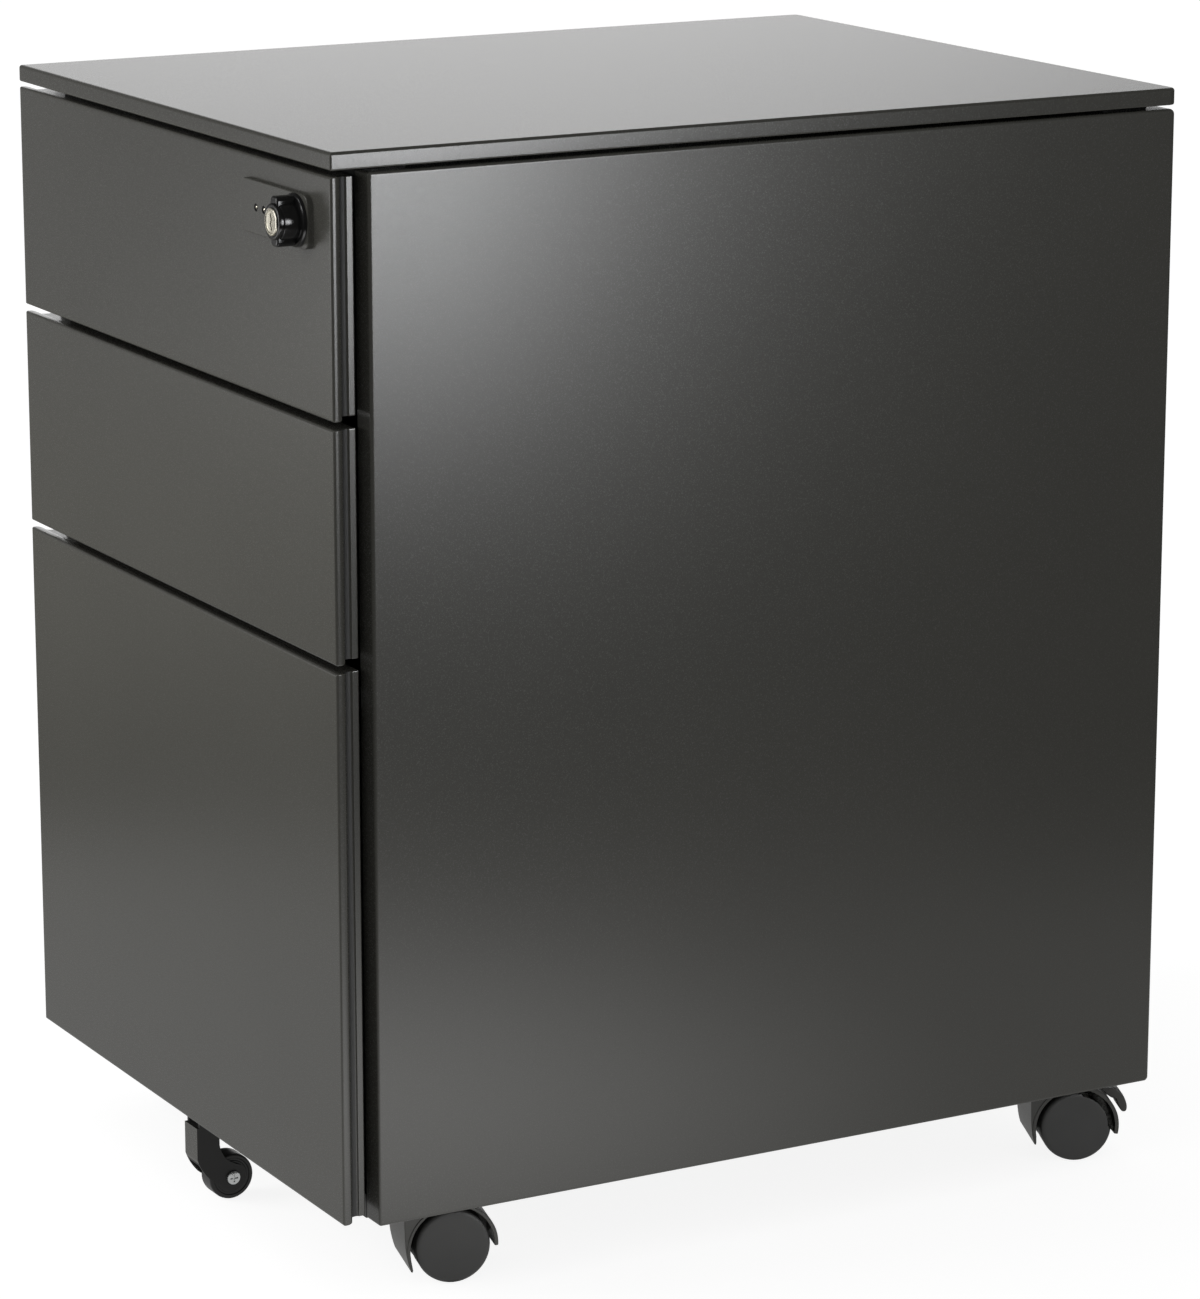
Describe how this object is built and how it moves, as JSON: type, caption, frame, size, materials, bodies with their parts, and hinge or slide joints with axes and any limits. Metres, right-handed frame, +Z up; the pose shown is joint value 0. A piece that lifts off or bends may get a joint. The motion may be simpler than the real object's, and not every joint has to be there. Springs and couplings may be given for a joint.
{
  "type": "rolling pedestal cabinet",
  "caption": "Rolling steel pedestal cabinet with box drawers over a file drawer, side finger pulls, a knob lock, hooded twin-wheel casters and an anti-tilt wheel under the file drawer.",
  "frame": {"origin": "floor level, at the centre of the overall footprint with the lock's key cylinder counted", "axes": "+X to the right of a person facing the drawers, +Y to the back, +Z up"},
  "size_m": [0.39, 0.5172, 0.6],
  "materials": {
    "painted_steel": "satin graphite powder coat",
    "painted_tray": "matte black powder coat",
    "zinc_plated_steel": "bright zinc plate",
    "guide_plastic": "natural nylon",
    "knob_plastic": "gloss black",
    "nickel": "satin nickel",
    "hood_plastic": "satin dark grey nylon",
    "wheel_plastic": "fine-grained dark grey nylon"
  },
  "bodies": {
    "carcass": {"top_cover": "painted_steel", "right_side_panel": "painted_steel", "left_side_panel": "painted_steel", "back_panel": "painted_steel", "base_pan": "painted_steel", "top_rails": "painted_steel", "runner_posts": "painted_steel", "fixed_runners": "zinc_plated_steel", "lock_bar_guides": "guide_plastic", "caster_plates": "zinc_plated_steel", "caster_screws": "zinc_plated_steel"},
    "top_drawer": {"top_drawer_front": "painted_steel", "top_drawer_liner": "painted_steel", "top_drawer_tray": "painted_tray", "top_drawer_front_screws": "zinc_plated_steel", "top_drawer_inner_runners": "zinc_plated_steel", "lock_plate": "painted_steel", "lock_housing": "knob_plastic", "lock_nut": "zinc_plated_steel"},
    "top_drawer_middle_runners": {"top_drawer_middle_runners": "zinc_plated_steel"},
    "middle_drawer": {"middle_drawer_front": "painted_steel", "middle_drawer_liner": "painted_steel", "middle_drawer_tray": "painted_tray", "middle_drawer_front_screws": "zinc_plated_steel", "middle_drawer_inner_runners": "zinc_plated_steel", "middle_drawer_catch": "zinc_plated_steel"},
    "middle_drawer_middle_runners": {"middle_drawer_middle_runners": "zinc_plated_steel"},
    "file_drawer": {"file_drawer_front": "painted_steel", "file_drawer_liner": "painted_steel", "file_drawer_tray": "painted_tray", "file_drawer_front_screws": "zinc_plated_steel", "file_drawer_inner_runners": "zinc_plated_steel", "file_drawer_catch": "zinc_plated_steel", "file_rails": "zinc_plated_steel", "fifth_wheel_bracket": "painted_steel", "fifth_wheel_axle": "zinc_plated_steel"},
    "file_drawer_middle_runners": {"file_drawer_middle_runners": "zinc_plated_steel"},
    "lock_knob": {"lock_knob": "knob_plastic", "key_cylinder": "nickel", "lock_crank": "zinc_plated_steel"},
    "lock_bar": {"lock_bar": "zinc_plated_steel"},
    "fifth_wheel": {"fifth_wheel": "wheel_plastic"},
    "front_left_caster_hood": {"front_left_caster_hood": "hood_plastic", "front_left_caster_axle": "zinc_plated_steel"},
    "front_left_caster_wheel_left": {"front_left_caster_wheel_left": "wheel_plastic"},
    "front_left_caster_wheel_right": {"front_left_caster_wheel_right": "wheel_plastic"},
    "front_right_caster_hood": {"front_right_caster_hood": "hood_plastic", "front_right_caster_axle": "zinc_plated_steel"},
    "front_right_caster_wheel_left": {"front_right_caster_wheel_left": "wheel_plastic"},
    "front_right_caster_wheel_right": {"front_right_caster_wheel_right": "wheel_plastic"},
    "rear_left_caster_hood": {"rear_left_caster_hood": "hood_plastic", "rear_left_caster_axle": "zinc_plated_steel"},
    "rear_left_caster_wheel_left": {"rear_left_caster_wheel_left": "wheel_plastic"},
    "rear_left_caster_wheel_right": {"rear_left_caster_wheel_right": "wheel_plastic"},
    "rear_left_caster_brake_lever": {"rear_left_caster_brake_lever": "hood_plastic"},
    "rear_right_caster_hood": {"rear_right_caster_hood": "hood_plastic", "rear_right_caster_axle": "zinc_plated_steel"},
    "rear_right_caster_wheel_left": {"rear_right_caster_wheel_left": "wheel_plastic"},
    "rear_right_caster_wheel_right": {"rear_right_caster_wheel_right": "wheel_plastic"},
    "rear_right_caster_brake_lever": {"rear_right_caster_brake_lever": "hood_plastic"}
  },
  "joints": [
    {"name": "drawer_top_slide", "type": "slide", "parent": "carcass", "child": "top_drawer", "axis": [0, -1, 0], "range_m": [0, 0.43]},
    {"name": "runner_top_slide", "type": "slide", "parent": "carcass", "child": "top_drawer_middle_runners", "axis": [0, -1, 0], "range_m": [0, 0.2155]},
    {"name": "drawer_middle_slide", "type": "slide", "parent": "carcass", "child": "middle_drawer", "axis": [0, -1, 0], "range_m": [0, 0.43]},
    {"name": "runner_middle_slide", "type": "slide", "parent": "carcass", "child": "middle_drawer_middle_runners", "axis": [0, -1, 0], "range_m": [0, 0.2155]},
    {"name": "drawer_file_slide", "type": "slide", "parent": "carcass", "child": "file_drawer", "axis": [0, -1, 0], "range_m": [0, 0.43]},
    {"name": "runner_file_slide", "type": "slide", "parent": "carcass", "child": "file_drawer_middle_runners", "axis": [0, -1, 0], "range_m": [0, 0.2155]},
    {"name": "lock_knob_turn", "type": "hinge", "parent": "top_drawer", "child": "lock_knob", "pos_m": [0.1615, -0.2517, 0.563], "axis": [0, 1, 0], "range_deg": [0, 90]},
    {"name": "lock_bar_slide", "type": "slide", "parent": "carcass", "child": "lock_bar", "axis": [0, 0, -1], "range_m": [0, 0.0113]},
    {"name": "front_left_caster_swivel", "type": "hinge", "parent": "carcass", "child": "front_left_caster_hood", "pos_m": [-0.154, -0.1827, 0.045], "axis": [0, 0, 1], "continuous": true},
    {"name": "front_left_caster_wheel_left_spin", "type": "hinge", "parent": "front_left_caster_hood", "child": "front_left_caster_wheel_left", "pos_m": [-0.14965, -0.16523, 0.02], "axis": [-0.9703, 0.2419, 0], "continuous": true},
    {"name": "front_left_caster_wheel_right_spin", "type": "hinge", "parent": "front_left_caster_hood", "child": "front_left_caster_wheel_right", "pos_m": [-0.14965, -0.16523, 0.02], "axis": [-0.9703, 0.2419, 0], "continuous": true},
    {"name": "front_right_caster_swivel", "type": "hinge", "parent": "carcass", "child": "front_right_caster_hood", "pos_m": [0.154, -0.1827, 0.045], "axis": [0, 0, 1], "continuous": true},
    {"name": "front_right_caster_wheel_left_spin", "type": "hinge", "parent": "front_right_caster_hood", "child": "front_right_caster_wheel_left", "pos_m": [0.15835, -0.16523, 0.02], "axis": [-0.9703, 0.2419, 0], "continuous": true},
    {"name": "front_right_caster_wheel_right_spin", "type": "hinge", "parent": "front_right_caster_hood", "child": "front_right_caster_wheel_right", "pos_m": [0.15835, -0.16523, 0.02], "axis": [-0.9703, 0.2419, 0], "continuous": true},
    {"name": "rear_left_caster_swivel", "type": "hinge", "parent": "carcass", "child": "rear_left_caster_hood", "pos_m": [-0.154, 0.2108, 0.045], "axis": [0, 0, 1], "continuous": true},
    {"name": "rear_left_caster_wheel_left_spin", "type": "hinge", "parent": "rear_left_caster_hood", "child": "rear_left_caster_wheel_left", "pos_m": [-0.14726, 0.22749, 0.02], "axis": [-0.9272, 0.3746, 0], "continuous": true},
    {"name": "rear_left_caster_wheel_right_spin", "type": "hinge", "parent": "rear_left_caster_hood", "child": "rear_left_caster_wheel_right", "pos_m": [-0.14726, 0.22749, 0.02], "axis": [-0.9272, 0.3746, 0], "continuous": true},
    {"name": "rear_left_caster_brake", "type": "hinge", "parent": "rear_left_caster_hood", "child": "rear_left_caster_brake_lever", "pos_m": [-0.14089, 0.24325, 0.036], "axis": [-0.9272, 0.3746, 0], "range_deg": [0, 12]},
    {"name": "rear_right_caster_swivel", "type": "hinge", "parent": "carcass", "child": "rear_right_caster_hood", "pos_m": [0.154, 0.2108, 0.045], "axis": [0, 0, 1], "continuous": true},
    {"name": "rear_right_caster_wheel_left_spin", "type": "hinge", "parent": "rear_right_caster_hood", "child": "rear_right_caster_wheel_left", "pos_m": [0.16074, 0.22749, 0.02], "axis": [-0.9272, 0.3746, 0], "continuous": true},
    {"name": "rear_right_caster_wheel_right_spin", "type": "hinge", "parent": "rear_right_caster_hood", "child": "rear_right_caster_wheel_right", "pos_m": [0.16074, 0.22749, 0.02], "axis": [-0.9272, 0.3746, 0], "continuous": true},
    {"name": "rear_right_caster_brake", "type": "hinge", "parent": "rear_right_caster_hood", "child": "rear_right_caster_brake_lever", "pos_m": [0.16711, 0.24325, 0.036], "axis": [-0.9272, 0.3746, 0], "range_deg": [0, 12]},
    {"name": "fifth_wheel_spin", "type": "hinge", "parent": "file_drawer", "child": "fifth_wheel", "pos_m": [0, -0.2177, 0.0131], "axis": [1, 0, 0], "continuous": true}
  ],
  "couplings": [
    {"joint": "runner_top_slide", "follows": "drawer_top_slide", "ratio": 0.5},
    {"joint": "runner_middle_slide", "follows": "drawer_middle_slide", "ratio": 0.5},
    {"joint": "runner_file_slide", "follows": "drawer_file_slide", "ratio": 0.5},
    {"joint": "lock_knob_turn", "follows": "lock_bar_slide", "rad_per_m": 138.84}
  ]
}
